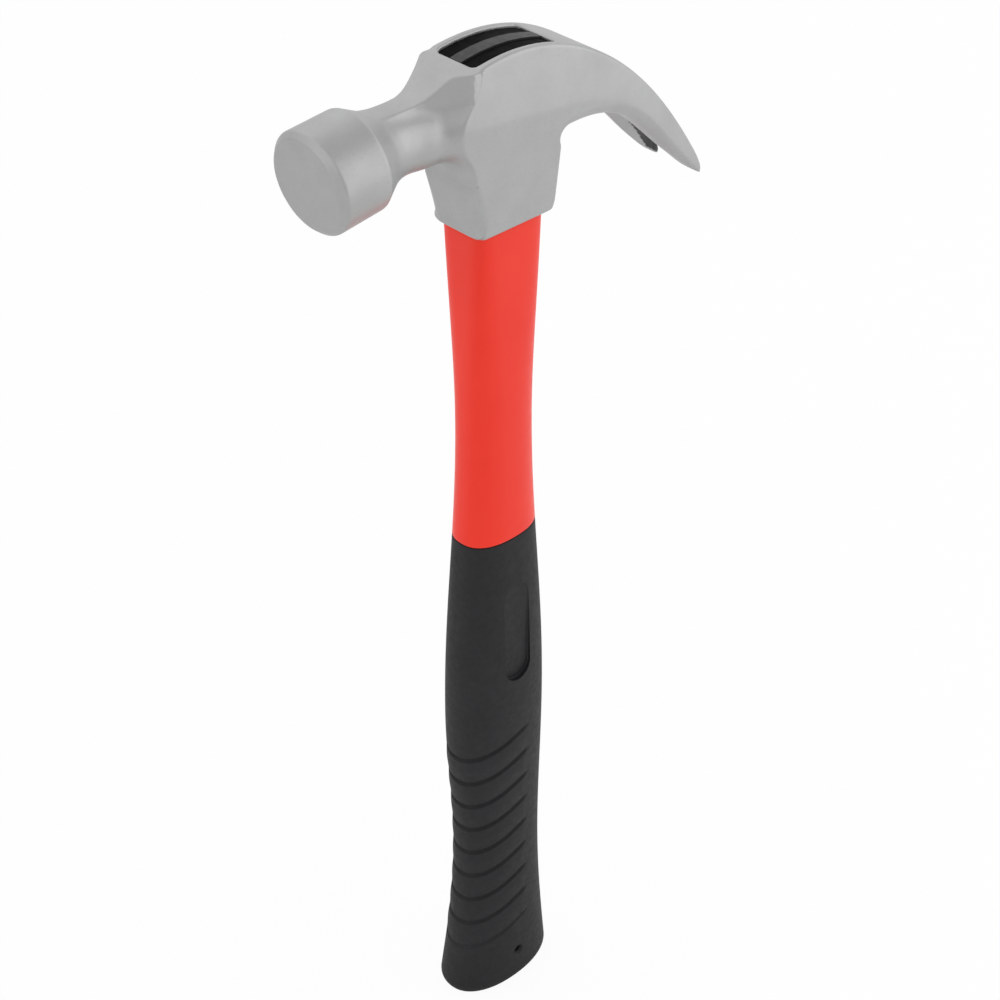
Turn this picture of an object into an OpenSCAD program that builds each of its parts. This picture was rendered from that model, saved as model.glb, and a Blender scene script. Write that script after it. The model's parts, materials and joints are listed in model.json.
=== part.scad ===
// Claw hammer: forged steel head, fibreglass core, moulded jacket and rubber grip.
// Origin: centre of the butt's flat end. +Z runs up the handle, +X points to the claws,
// and the striking face looks along -X, tipped a little down. All sizes are in millimetres.

/* [Handle] */
// Length of the handle from the butt to the lower rim of the head
handle_l = 281.4; // [262:0.2:300]
// Length of the rubber grip
grip_l = 181; // [170:1:195]
// Height of the grip's waist above the butt
waist_z = 62; // [56:1:68]
// Height of the palm swell above the butt
swell_z = 115; // [108:1:124]
// Height of the slimmest place, above the grip
slim_z = 220; // [212:1:230]
// Depth of the butt, front to back
butt_depth = 41; // [38:0.2:44]
// Width of the butt
butt_width = 25; // [24:0.2:27]
// Depth of the waist
waist_depth = 30.7; // [29:0.1:33]
// Width of the waist
waist_width = 20.2; // [19:0.1:22]
// Depth of the palm swell
swell_depth = 33.6; // [32:0.1:36]
// Width of the palm swell
swell_width = 22.2; // [21:0.1:24]
// Depth at the slimmest place
slim_depth = 23.4; // [23:0.1:25]
// Width at the slimmest place
slim_width = 15.6; // [15:0.1:17]
// Depth of the jacket where it meets the head
collar_depth = 23.8; // [23.2:0.1:24]
// Width of the jacket where it meets the head
collar_width = 16.8; // [16.2:0.1:17]
// How far the jacket's collar sits in front of the handle's axis
collar_shift = 0.3; // [0.2:0.1:0.8]
// How far the waist sits behind the handle's axis
waist_shift = 0.8; // [0:0.1:1.5]
// How far the butt sits in front of the handle's axis
butt_shift = 0.6; // [0:0.1:1.5]
// Rounding of the butt's edge
butt_round = 4.5; // [2:0.5:5]

/* [Grip] */
// Thickness of the rubber over the jacket
grip_wall = 3; // [2.4:0.1:3.4]
// Thickness of rubber below the jacket
butt_wall = 9; // [6:0.5:11]
// Number of finger grooves
groove_count = 9; // [7:1:9]
// Height of the lowest groove at the front
groove_z = 20.6; // [18:0.2:23]
// Distance from groove to groove
groove_pitch = 10.1; // [9.4:0.1:10.4]
// Width of one groove
groove_w = 2.2; // [1.8:0.1:3]
// Depth of one groove
groove_d = 0.9; // [0.5:0.05:1.3]
// How far a groove climbs from the front to the side
groove_climb = 6.4; // [4:0.1:7]
// Half angle that a groove wraps, from the front
groove_wrap = 105; // [90:1:115]
// Length of the bare panel on each side
panel_l = 35; // [28:0.5:38]
// Width of the bare panel
panel_w = 10; // [8:0.2:11]
// Height of the middle of the panel above the butt
panel_z = 147; // [144:0.5:150]
// Depth of the panel in the palm swell's side
panel_d = 1.1; // [0.6:0.05:1.4]
// Diameter of the locating hole near the butt
pin_hole_d = 2.6; // [2:0.1:3.2]
// Depth of the locating hole
pin_hole_depth = 5; // [3:0.5:5.5]
// Height of the locating hole above the butt
pin_hole_z = 13; // [10:0.5:14]

/* [Core] */
// Depth of the fibreglass core, front to back
core_depth = 15.6; // [14:0.1:16]
// Width of the fibreglass core
core_width = 8; // [7:0.1:8.6]
// Corner radius of the core
core_round = 3; // [2:0.1:3.4]
// Clearance left where pieces are bonded or moulded on
bond = 0.05; // [0.02:0.01:0.1]
// Thickness of jacket below the core
jacket_end = 3; // [2:0.5:5]
// Length of the jacket's spigot in the eye
spigot_l = 14; // [8:0.5:18]

/* [Striking end] */
// Diameter over the poll behind its chamfer
face_d = 27.4; // [26.4:0.1:29]
// Width of the chamfer round the striking face
face_chamfer = 1.7; // [0.6:0.1:2]
// Distance from the handle's axis to the middle of the striking face
face_reach = 60.9; // [59:0.1:64]
// How many degrees the striking face is tipped towards the hand
poll_tilt = 5.8; // [0:0.1:7]
// Length of the poll
poll_l = 15.4; // [14:0.1:17]
// Diameter at the back of the poll
poll_back_d = 27; // [25.4:0.1:28]
// Length of the bevel behind the poll
bevel_l = 2.5; // [2:0.1:3.2]
// Length of the conical shoulder between bevel and neck
shoulder_l = 5; // [4:0.1:6]
// Diameter at the front of the shoulder
shoulder_front_d = 23.4; // [22.4:0.1:24.4]
// Diameter at the back of the shoulder
shoulder_back_d = 19.4; // [18.8:0.1:20.4]
// Diameter of the neck
neck_d = 16.6; // [15.6:0.1:17.6]
// Radius of the hollow between shoulder and neck
neck_round = 12; // [8:0.5:14]
// Radius of the flare where the neck meets the cheeks
flare_r = 12.5; // [11:0.5:13]
// Height of the neck's axis above the head's lower rim
neck_z = 31.9; // [30.6:0.1:33]
// Width of the ridge on top of the neck, where it starts
ridge_w = 6.6; // [5:0.2:8]
// How far the ridge stands above the neck
ridge_rise = 1.3; // [0.6:0.1:2]

/* [Cheeks and eye] */
// Distance from the handle's axis to the front of the cheeks
cheek_front = 15.5; // [15:0.1:17]
// How far the cheeks' front lies further back at the crown
crown_set = 1.7; // [0.8:0.1:2]
// Distance from the handle's axis to the back of the cheeks, under the claws
cheek_back = 14.8; // [14.2:0.1:15.4]
// Width over the parting line of the cheeks
cheek_w = 22.6; // [21.8:0.1:24]
// Width over the top of the cheeks
crown_w = 19.2; // [18.4:0.1:19.8]
// Width over the lower rim
rim_w = 18.8; // [18.2:0.1:19.6]
// Height of the head from its lower rim to the front of its crown
head_h = 47; // [45:0.1:50]
// Setback of the lower rim at the front
rim_front_set = 1.8; // [0.8:0.1:2]
// Setback of the lower rim at the back
rim_back_set = 1.4; // [0.6:0.1:1.6]
// How far the rim's back edge is rounded off
rim_heel = 1.6; // [0.6:0.1:1.8]
// Height over which the lower rim is drawn in
rim_draw_h = 14; // [10:0.5:16]
// Rounding of the lower rim's edge
rim_edge = 1; // [0.4:0.1:1.2]
// Rounding of the front corners at the lower rim
rim_round = 4.2; // [2:0.1:4.6]
// Rounding of the back corners under the claws
back_round = 1.6; // [0.8:0.1:2.4]
// Rounding of the front corners beside the neck
cheek_round = 0.6; // [0.4:0.1:1.4]
// Length of the eye at the top
eye_l = 28.2; // [27:0.1:28.6]
// Width of the eye at the top
eye_w = 13.8; // [13:0.1:14.4]
// How far the eye's top sits behind the handle's axis
eye_shift = 1.2; // [0.8:0.1:1.4]
// Length of the eye at the bottom
socket_l = 19.6; // [19:0.1:20]
// Width of the eye at the bottom
socket_w = 11.8; // [11.4:0.1:12.4]
// Corner radius of the eye
eye_round = 1.7; // [1.2:0.1:3]

/* [Claws] */
// Distance from the handle's axis to the claw tips
claw_reach = 71.8; // [68:0.2:76]
// How far the claw tips hang below the lower rim
claw_drop = 9.4; // [4:0.2:12]
// Thickness of the claw tips
tip_t = 1.2; // [0.8:0.1:2]
// Width over the claws near their tips
tip_w = 20.2; // [18.4:0.1:21.6]
// Height of the claws' underside above the lower rim at the root
arch_z = 22.2; // [20:0.1:25]
// Radius of the arch behind the cheeks
arch_r = 3; // [2.4:0.1:4]
// Rounding of the claws' lower edges
under_round = 3.4; // [1:0.1:4]
// Rounding of the head's upper edges
top_round = 1.1; // [0.6:0.1:2]
// Length of the nail slot, measured level
slot_l = 32; // [28:0.5:36]
// Width of the nail slot at its rounded root
slot_root_w = 4; // [3:0.1:5]
// Width of the nail slot near the tips
slot_tip_w = 12.6; // [11:0.1:13.4]
// Width of the bevel along the slot's lower edges
slot_bevel = 1.1; // [0.6:0.1:2]
// Height of that bevel
slot_bevel_h = 1.5; // [1:0.1:2.4]
// Width left at each claw tip
tip_land = 2; // [1.2:0.1:2.6]
// Length over which each claw tip is rounded
tip_round = 4; // [2:0.2:6]

/* [Wedge and resin] */
// Thickness of the wedge at its top
wedge_t = 3.8; // [2.4:0.1:4.4]
// Thickness of the wedge at its lower end
wedge_tip_t = 1.2; // [0.8:0.1:1.6]
// Length of the wedge down the eye
wedge_l = 24; // [16:0.5:28]
// How far the resin lies below the crown of the head
resin_drop = 1; // [0.4:0.1:2]
// How far the wedge lies below the crown
wedge_drop = 0.5; // [0.2:0.1:1]
// How far the core's end lies below the crown, under the resin
core_drop = 6; // [4:0.5:10]

/* [Hidden] */
$fn = 96;

ring_n = 48;          // points round one section of the handle
curve_n = 24;         // steps along one free curve of the head
arc_n = 4;            // steps round one small edge of the head
grip_power = 2.2;     // squareness of the grip's section, 2 is an ellipse
slim_power = 2.5;     // squareness of the slim part
collar_power = 5.5;   // squareness of the jacket at the head
crest = 0.15;         // how far a rib stands proud between two grooves
over = 1;             // how far a cutter runs past what it cuts
wrap_fade = 20;       // degrees over which a groove dies out at its ends

// Handles of the head's free curves
crown_lead = 0.325;   // where the crown's first handle lies, as a share of the claws' reach
crown_rise = 8.7;     // how far it lies above the front of the crown
crown_back = 19.6;    // how far the second handle lies in front of the claw tips
crown_fall = 22.7;    // how far it lies below the front of the crown
under_back = 26;      // how far the underside's first handle lies in front of the claw tips
under_fall = 18;      // how far its second handle lies below the arch
ridge_foot = 9.7;     // how far ahead of the crown the ridge starts to climb
ridge_lead = 5.2;     // how far ahead of the crown it is level with it
crown_pace = 0.8;     // how the crown's sections are spaced against the underside's
tip_draw = 0.4;       // share of the tips' rounding on their outer sides
heel_rise = 2.5;      // height of the rim's rounded heel, as a multiple of its depth
hollow_turn = 28;     // degrees through which the hollow turns from the shoulder into the neck

steel = [0.66, 0.66, 0.65];
red = [0.91, 0.22, 0.16];
black = [0.12, 0.12, 0.13];

jacket_z = butt_wall;
core_z = jacket_z + jacket_end;
crown_z = handle_l + head_h;

// ---- Curves and sections ----

function ease(u) = (1 - cos(180 * u)) / 2;
function flare(u) = 1 - cos(90 * u);
function signed_power(v, p) = sign(v) * pow(abs(v), p);

// A value along the handle, from the five places where it is given
function along(z, butt, waist, swell, slim, collar) =
    z <= waist_z ? waist + (butt - waist) * flare(1 - z / waist_z)
    : z <= swell_z ? waist + (swell - waist) * ease((z - waist_z) / (swell_z - waist_z))
    : z <= slim_z ? swell + (slim - swell) * ease((z - swell_z) / (slim_z - swell_z))
    : slim + (collar - slim) * flare((z - slim_z) / (handle_l - slim_z));

function half_depth(z) =
    along(z, butt_depth, waist_depth, swell_depth, slim_depth, collar_depth) / 2;
function half_width(z) =
    along(z, butt_width, waist_width, swell_width, slim_width, collar_width) / 2;
function section_power(z) =
    along(z, grip_power, grip_power, grip_power, slim_power, collar_power);
function shift(z) = along(z, -butt_shift, waist_shift, 0, 0, -collar_shift);

// The section's angles start at the front and run anticlockwise seen from above
function ring_angle(i) = (i + 0.5) * 360 / ring_n;

function oval(a, b, power, t) =
    [-a * signed_power(cos(t), 2 / power), -b * signed_power(sin(t), 2 / power)];

function round_rect(a, b, r, t) =
    [-(a - r) * sign(cos(t)) - r * cos(t), -(b - r) * sign(sin(t)) - r * sin(t)];

// One level ring of the handle, drawn in by an inset
function handle_ring(z, inset) = [
    for (i = [0 : ring_n - 1])
        let (p = oval(half_depth(z) - inset, half_width(z) - inset, section_power(z), ring_angle(i)))
        [p[0] + shift(z), p[1], z]
];

function rect_ring(a, b, r, x, z) = [
    for (i = [0 : ring_n - 1])
        let (p = round_rect(a, b, r, ring_angle(i)))
        [p[0] + x, p[1], z]
];

// Triangles between neighbouring rings or sections of n points
function band(n, i) = [
    for (j = [0 : n - 1])
        let (k = (j + 1) % n)
        each [[i * n + j, (i + 1) * n + k, i * n + k], [i * n + j, (i + 1) * n + j, (i + 1) * n + k]]
];

// A closed solid through rings that all have ring_n points, from the first one up
module skin(rings) {
    n = ring_n;
    last = len(rings) - 1;
    sides = [for (i = [0 : last - 1]) each band(n, i)];
    floor_cap = [[for (j = [0 : n - 1]) j]];
    roof_cap = [[for (j = [n - 1 : -1 : 0]) last * n + j]];
    polyhedron(points = [for (ring = rings) each ring], faces = concat(floor_cap, sides, roof_cap));
}

function bezier(p, t) =
    pow(1 - t, 3) * p[0] + 3 * pow(1 - t, 2) * t * p[1] + 3 * (1 - t) * t * t * p[2] + pow(t, 3) * p[3];

function curve(p) = [for (i = [0 : curve_n]) bezier(p, i / curve_n)];

function arc(cx, cy, r, from, to, steps) = [
    for (i = [0 : steps]) let (t = from + (to - from) * i / steps) [cx + r * cos(t), cy + r * sin(t)]
];

// ---- Head: outlines in X and Z, measured from the handle's axis and the lower rim ----

crown_front = cheek_front - crown_set;
rim_shift = (cheek_front - rim_front_set - cheek_back + rim_back_set) / 2;
cheek_lean = (cheek_w - crown_w) / 2 / (head_h - neck_z);
socket_lean = (cheek_w - rim_w) / 2 / neck_z;

// Top of the head, from the front of the crown over to the claw tips
crown_curve = [
    [-cheek_front, head_h],
    [claw_reach * crown_lead, head_h + crown_rise],
    [claw_reach - crown_back, head_h - crown_fall],
    [claw_reach, -claw_drop]
];

// Underside of the claws, from the arch out to the tips
under_curve = [
    [cheek_back + arch_r, arch_z],
    [claw_reach - under_back, arch_z + 1],
    [claw_reach - under_back + 1, arch_z - under_fall],
    [claw_reach - tip_t * 0.8, -claw_drop - tip_t]
];

// The poll is tipped about a point on the neck's axis, in the middle of its bevel
poll_pivot = [-face_reach + (poll_l + bevel_l / 2) * cos(poll_tilt), neck_z];

// Top of the neck, from the poll's bevel up to the crown
ridge_top = neck_z + neck_d / 2 + ridge_rise;
ridge_curve = [
    [poll_pivot[0], ridge_top],
    [-crown_front - ridge_foot, ridge_top - ridge_rise / 2],
    [-crown_front - 1.7 * ridge_lead, head_h - 0.3 * (head_h - ridge_top)],
    [-crown_front - ridge_lead, head_h]
];

// Half of the ridge in plan, widening up to the crown
ridge_plan = [
    [poll_pivot[0], ridge_w / 2],
    [-crown_front - 1.4 * ridge_foot, ridge_w / 2],
    [-crown_front - 0.8 * ridge_foot, ridge_w / 2 + 1.4],
    [-crown_front, crown_w / 2 - 0.1]
];

// An outline drawn in X and Z, given a width in Y
module across(width) {
    translate([0, 0, handle_l])
        rotate([90, 0, 0])
            linear_extrude(width, center = true)
                children();
}

// Everything that lies lower than the crown by a drop, for trimming what fills the eye
module below_crown(drop) {
    across(2 * cheek_w)
        translate([0, -drop])
            polygon(concat(
                curve(crown_curve),
                [[claw_reach, -handle_l], [-2 * cheek_front, -handle_l], [-2 * cheek_front, head_h]]
            ));
}

// ---- Head: cheeks and claws, each lofted along X ----

// Rounding of the front corners shrinks from the rim up to the neck's flare
function corner_round(h) =
    let (u = min(1, max(0, h / rim_draw_h)))
    rim_round + (cheek_round - rim_round) * u;

function corner_inset(d, r) = d >= r ? 0 : r - sqrt(pow(r, 2) - pow(r - max(0, d), 2));

// How far the cheeks are drawn in at a height, from the front and from the back
function front_draw(h) =
    rim_front_set * max(0, 1 - h / rim_draw_h)
    + crown_set * min(1, max(0, (h - neck_z) / (head_h - neck_z)));
function back_draw(h) =
    rim_back_set * max(0, 1 - h / (arch_z - arch_r))
    + rim_heel * pow(max(0, 1 - h / heel_rise / rim_heel), 2);

// The back corners are rounded below the claws, and the rounding dies out into them
function back_inset(d, h) = corner_inset(d, back_round) * min(1, max(0, (arch_z - h) / arch_r));

// Level of the parting line, where the head is widest: it falls from the poll to the claws' root,
// and then keeps the same share of the claws' thickness
function root_parting() =
    under_curve[0][1] + parting_share * (bezier(crown_curve, root_t)[1] - under_curve[0][1]);
function parting(low, high) =
    let (u = (low[0] + cheek_front) / (cheek_front + under_curve[0][0]))
    u < 1 ? neck_z + parting_rise + (root_parting() - neck_z - parting_rise) * u
    : low[1] + parting_share * (high[1] - low[1]);

// Steps up one side of a section: [share of its height, inset at its edges]
function side_steps(height, low_r, high_r, middle) = concat(
    [
        for (i = [0 : arc_n - 1])
            let (t = 90 * i / arc_n)
            [low_r * (1 - cos(t)) / height, low_r * (1 - sin(t))]
    ],
    [for (m = middle) [m, 0]],
    [
        for (i = [arc_n - 1 : -1 : 0])
            let (t = 90 * i / arc_n)
            [1 - high_r * (1 - cos(t)) / height, high_r * (1 - sin(t))]
    ]
);

// One side of a section between its lowest and highest points. In the cheeks, front runs from 1
// at their front to 0 at their back; in the claws it is undef.
function half_section(low, high, half, front) =
    let (
        in_cheeks = !is_undef(front),
        height = norm(high - low),
        low_r = min(in_cheeks ? rim_edge : under_round, height * 0.35),
        high_r = min(top_round, height * 0.3),
        crease = (parting(low, high) - low[1]) / (high[1] - low[1]),
        middle = [crease * 0.2, crease * 0.45, crease, crease + (1 - crease) / 2],
        claw_middle = [crease + 0.1, crease + 0.25]
    )
    [
        for (step = side_steps(height, low_r, high_r, in_cheeks ? middle : claw_middle))
            let (
                p = low + (high - low) * step[0],
                above = (step[0] - crease) * height,
                lean = above > 0 ? cheek_lean * above : -socket_lean * above,
                draw = in_cheeks ? front_draw(p[1]) * front - back_draw(p[1]) * (1 - front) : 0,
                front_corner = corner_inset(low[0] + cheek_front, corner_round(p[1])),
                back_corner = back_inset(cheek_back - low[0], p[1]),
                corner = in_cheeks ? front_corner + back_corner : 0
            )
            [p[0] + draw, half - step[1] - lean - corner, p[1] + handle_l]
    ];

// The whole section: up the right side, then down the left
function head_section(low, high, half, front) =
    let (side = half_section(low, high, half, front))
    concat(
        [for (p = side) [p[0], -p[1], p[2]]],
        [for (i = [len(side) - 1 : -1 : 0]) side[i]]
    );

// The point of a curve at a level distance from the axis, found by halving
function curve_at(p, x, from = 0, to = 1, n = 16) =
    let (mid = (from + to) / 2)
    n == 0 ? bezier(p, mid)
    : bezier(p, mid)[0] < x ? curve_at(p, x, mid, to, n - 1)
    : curve_at(p, x, from, mid, n - 1);

root_t = 0.33;        // where along the crown's curve the claws begin
parting_share = 0.3;  // the parting line's share of the claws' thickness
parting_rise = 1;     // height of the parting line above the neck's axis, at the front
root_gap = 0.04;      // how far the claws' root lies inside the faces of the cheeks

// The cheeks and the socket under them, from front to back
module cheeks() {
    depth = cheek_front + cheek_back;
    steps = concat(
        [for (d = [0, 0.08, 0.3, 0.6, 1]) d * rim_round],
        [for (i = [1 : 4]) rim_round + (depth - back_round - rim_round) * i / 4],
        [for (d = [0.6, 0.2, 0]) depth - d * back_round]
    );
    loft([
        for (d = steps)
            let (x = d - cheek_front)
            head_section([x, 0], curve_at(crown_curve, x), cheek_w / 2, 1 - d / depth)
    ]);
}

// Both claws as one blade: root inside the cheeks, arch, then sections square to the curve
module claw_blade() {
    root_x = cheek_back - 10 * root_gap;
    root = head_section(
        [root_x, arch_z - arch_r + root_gap],
        curve_at(crown_curve, root_x) - [0, root_gap],
        cheek_w / 2 - root_gap
    );
    arch = [
        for (i = [0 : 5])
            let (
                t = 90 * i / 6,
                x = cheek_back - root_gap + (arch_r + root_gap) * (1 - cos(t)),
                top_x = cheek_back + (bezier(crown_curve, root_t)[0] - cheek_back) * (1 - cos(t)),
                inset = i == 0 ? root_gap / 2 : 0
            )
            head_section(
                [x, arch_z - arch_r * (1 - sin(t))],
                curve_at(crown_curve, top_x) - [0, inset],
                cheek_w / 2 - inset
            )
    ];
    blade = [
        for (i = [0 : curve_n])
            let (
                u = i / curve_n,
                low = bezier(under_curve, u),
                high = bezier(crown_curve, root_t + (1 - root_t) * pow(u, crown_pace)),
                width = cheek_w / 2 + (tip_w - cheek_w) / 2 * u,
                tip = corner_inset(claw_reach - low[0], tip_round) * tip_draw
            )
            head_section(low, high, width - tip)
    ];
    loft(concat([root], arch, blade));
}

// A closed solid through mirrored sections that all have as many points, running along X.
// Each cap is a ladder of level strips, so that it need not be flat.
module loft(sections) {
    n = len(sections[0]);
    last = len(sections) - 1;
    sides = [for (i = [0 : last - 1]) for (face = band(n, i)) [face[2], face[1], face[0]]];
    near_cap = [for (j = [0 : n / 2 - 2]) [n - 1 - j, n - 2 - j, j + 1, j]];
    far_cap = [for (face = near_cap) [for (k = [3 : -1 : 0]) last * n + face[k]]];
    polyhedron(points = [for (section = sections) each section], faces = concat(near_cap, sides, far_cap));
}

// ---- Head: poll, neck and ridge ----

// Poll and shoulder, turned about their own tipped axis. The hollow behind the shoulder
// dives into the neck.
module poll() {
    bevel_end = poll_l + bevel_l;
    shoulder_end = bevel_end + shoulder_l;
    hollow_r = shoulder_back_d / 2 + neck_round * cos(hollow_turn);
    profile = concat(
        [[0, 0], [face_d / 2 - face_chamfer, 0], [face_d / 2, face_chamfer]],
        [[poll_back_d / 2, poll_l], [shoulder_front_d / 2, bevel_end]],
        arc(hollow_r, shoulder_end + neck_round * sin(hollow_turn), neck_round,
            180 + hollow_turn, 180, 6),
        [[0, shoulder_end + neck_round * sin(hollow_turn)]]
    );
    translate([poll_pivot[0], 0, handle_l + poll_pivot[1]])
        rotate([0, 90 - poll_tilt, 0])
            translate([0, 0, -poll_l - bevel_l / 2])
                rotate_extrude()
                    polygon(profile);
}

// Level neck, and the flare where it meets the cheeks
module neck() {
    r = neck_d / 2;
    profile = concat(
        [[0, poll_pivot[0]], [r, poll_pivot[0]]],
        arc(r + flare_r, -crown_front - flare_r, flare_r, 180, 90, 12),
        [[r + flare_r, cheek_round - crown_front], [0, cheek_round - crown_front]]
    );
    translate([0, 0, handle_l + neck_z])
        rotate([0, 90, 0])
            rotate_extrude()
                polygon(profile);
}

// Room for the neck and its flare between the cheeks and under the ridge
module flare_room() {
    gap = 0.05;
    lean_top = cheek_w / 2 - cheek_lean * (head_h - neck_z);
    intersection() {
        translate([-face_reach, 0, handle_l])
            rotate([90, 0, 90])
                linear_extrude(face_reach)
                    polygon([
                        [-rim_w / 2 + gap, 0],
                        [rim_w / 2 - gap, 0],
                        [cheek_w / 2 - gap, neck_z],
                        [lean_top - gap, head_h],
                        [-lean_top + gap, head_h],
                        [-cheek_w / 2 + gap, neck_z]
                    ]);
        across(2 * cheek_w)
            polygon(concat(curve(ridge_curve), [[0, head_h], [0, 0], [poll_pivot[0], 0]]));
    }
}

// Flat-topped ridge that climbs from the neck to the front of the crown
module neck_ridge() {
    side = curve(ridge_plan);
    intersection() {
        across(2 * cheek_w)
            polygon(concat(
                curve(ridge_curve),
                [[cheek_round - crown_front, head_h], [cheek_round - crown_front, neck_z]],
                [[poll_pivot[0], neck_z]]
            ));
        translate([0, 0, handle_l + neck_z])
            linear_extrude(head_h)
                polygon(concat(
                    side,
                    [[0, crown_w / 2], [0, -crown_w / 2]],
                    [for (i = [len(side) - 1 : -1 : 0]) [side[i][0], -side[i][1]]]
                ));
    }
}

// ---- Head: eye and nail slot ----

// Tapered eye, drawn in by a gap for what fits inside it
function eye_ring(h, gap) =
    let (u = h / head_h)
    rect_ring(
        (socket_l + (eye_l - socket_l) * u) / 2 - gap,
        (socket_w + (eye_w - socket_w) * u) / 2 - gap,
        eye_round,
        -rim_shift + (eye_shift + rim_shift) * u,
        handle_l + h
    );

module eye_space(from, to, gap) {
    skin([eye_ring(from, gap), eye_ring(to, gap)]);
}

// Half width of the nail slot: a round root, then a V that opens out at the tips
function slot_half(x) =
    let (
        start = claw_reach - slot_l,
        root = slot_root_w / 2,
        tip = slot_tip_w / 2,
        d = min(root, max(0, x - start)),
        v = min(1, max(0, (x - start) / (slot_l - tip_round))),
        mouth = tip_w / 2 - tip_land - tip
    )
    sqrt(root * root - pow(root - d, 2)) + (tip - root) * v
        + corner_inset(claw_reach - x, tip_round * 1.5) * mouth / tip_round / 1.5 + 0.01;

// One upright section of the slot, with bevelled lower edges
function slot_section(x, low, high) =
    let (
        w = slot_half(x),
        rise = min(slot_bevel_h, (high - low) * 0.5),
        run = slot_bevel * rise / slot_bevel_h,
        side = [
            [low - over, w + run * (1 + over / rise)],
            [low + rise, w],
            [high + over, w]
        ]
    )
    concat(
        [for (p = side) [x, -p[1], p[0] + handle_l]],
        [for (i = [len(side) - 1 : -1 : 0]) [x, side[i][1], side[i][0] + handle_l]]
    );

module nail_slot() {
    start = claw_reach - slot_l;
    root = slot_root_w / 2;
    places = concat(
        [for (d = [0, 0.1, 0.3, 0.6, 1]) start + d * root],
        [for (i = [1 : 14]) start + root + (slot_l - root - 0.4) * i / 14]
    );
    loft(concat(
        [for (x = places) slot_section(x, curve_at(under_curve, x)[1], curve_at(crown_curve, x)[1])],
        [slot_section(claw_reach + over, -claw_drop - 2 * tip_t - over, -claw_drop + over)]
    ));
}

module head() {
    color(steel)
        difference() {
            union() {
                cheeks();
                claw_blade();
                neck_ridge();
                poll();
                intersection() {
                    neck();
                    flare_room();
                }
            }
            eye_space(-over, head_h + 4 * over, 0);
            nail_slot();
        }
}

// ---- Core, wedge and resin ----

module core_outline(gap = 0) {
    a = core_depth / 2 + gap;
    b = core_width / 2 + gap;
    polygon([
        for (i = [0 : ring_n - 1])
            round_rect(a, b, core_round + gap, ring_angle(i))
    ]);
}

// Wedge section, widened by a gap for its seat
module wedge_prism(gap) {
    bottom = crown_z - wedge_l - gap;
    top = crown_z + 4 * over;
    slope = (wedge_t - wedge_tip_t) / 2 / wedge_l;
    low = wedge_tip_t / 2 + gap;
    high = low + slope * (top - bottom);
    translate([-eye_l, 0, 0])
        rotate([90, 0, 90])
            linear_extrude(2 * eye_l)
                polygon([[-low, bottom], [low, bottom], [high, top], [-high, top]]);
}

module core() {
    color([0.85, 0.8, 0.55])
        difference() {
            translate([0, 0, core_z])
                linear_extrude(crown_z - core_drop - core_z)
                    core_outline();
            wedge_prism(bond);
        }
}

module wedge() {
    color([0.22, 0.22, 0.23])
        intersection() {
            wedge_prism(0);
            eye_space(head_h - wedge_l - over, head_h + 4 * over, bond);
            below_crown(wedge_drop);
        }
}

module eye_resin() {
    color([0.05, 0.05, 0.05])
        difference() {
            intersection() {
                eye_space(spigot_l + bond, head_h + 4 * over, bond);
                below_crown(resin_drop);
            }
            translate([0, 0, handle_l])
                linear_extrude(head_h - core_drop + bond)
                    core_outline(bond);
            wedge_prism(bond);
        }
}

// ---- Jacket ----

// Jacket under the grip: follows the swell, then runs straight down from the waist
function tail_ring(z, gap) =
    let (
        s = max(z, waist_z),
        p = section_power(s)
    )
    [
        for (i = [0 : ring_n - 1])
            let (
                a = half_depth(s) - grip_wall + gap,
                b = half_width(s) - grip_wall + gap,
                q = oval(a, b, p, ring_angle(i))
            )
            [q[0] + shift(s), q[1], z]
    ];

tail_heights = [grip_l, 166, 152, 138, 125, swell_z, 98, 80, waist_z];

module jacket() {
    tail = [for (i = [len(tail_heights) - 1 : -1 : 0]) tail_ring(tail_heights[i], 0)];
    shaft_steps = 10;
    shaft = [
        for (i = [0 : shaft_steps])
            handle_ring(grip_l + (handle_l - bond - grip_l) * i / shaft_steps, 0)
    ];
    color(red)
        difference() {
            skin(concat(
                [tail_ring(jacket_z, 0)],
                tail,
                shaft,
                [
                    eye_ring_at(handle_l - bond),
                    eye_ring(over, bond),
                    eye_ring(spigot_l, bond)
                ]
            ));
            translate([0, 0, core_z - bond])
                linear_extrude(handle_l + spigot_l - core_z + over)
                    core_outline(bond);
        }
}

// The spigot's foot, level with the jacket's shoulder
function eye_ring_at(z) = [for (p = eye_ring(0, bond)) [p[0], p[1], z]];

// ---- Grip ----

// Share of a groove's depth at an angle from the front
function wrap_share(t) =
    let (a = abs(t > 180 ? t - 360 : t))
    a >= groove_wrap ? 0 : ease(min(1, (groove_wrap - a) / wrap_fade));

// One ring of the grip: z at the front, how much it follows the grooves, and its inset there
function grip_ring(z, follow, inset) = [
    for (i = [0 : ring_n - 1])
        let (
            t = ring_angle(i),
            zz = z + follow * groove_climb * (1 - cos(t)),
            edge = zz < butt_round ? butt_round - sqrt(pow(butt_round, 2) - pow(butt_round - zz, 2)) : 0,
            d = edge + inset * wrap_share(t),
            p = oval(half_depth(zz) - d, half_width(zz) - d, section_power(zz), t)
        )
        [p[0] + shift(zz), p[1], zz]
];

groove_top = groove_z + (groove_count - 1) * groove_pitch;

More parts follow.
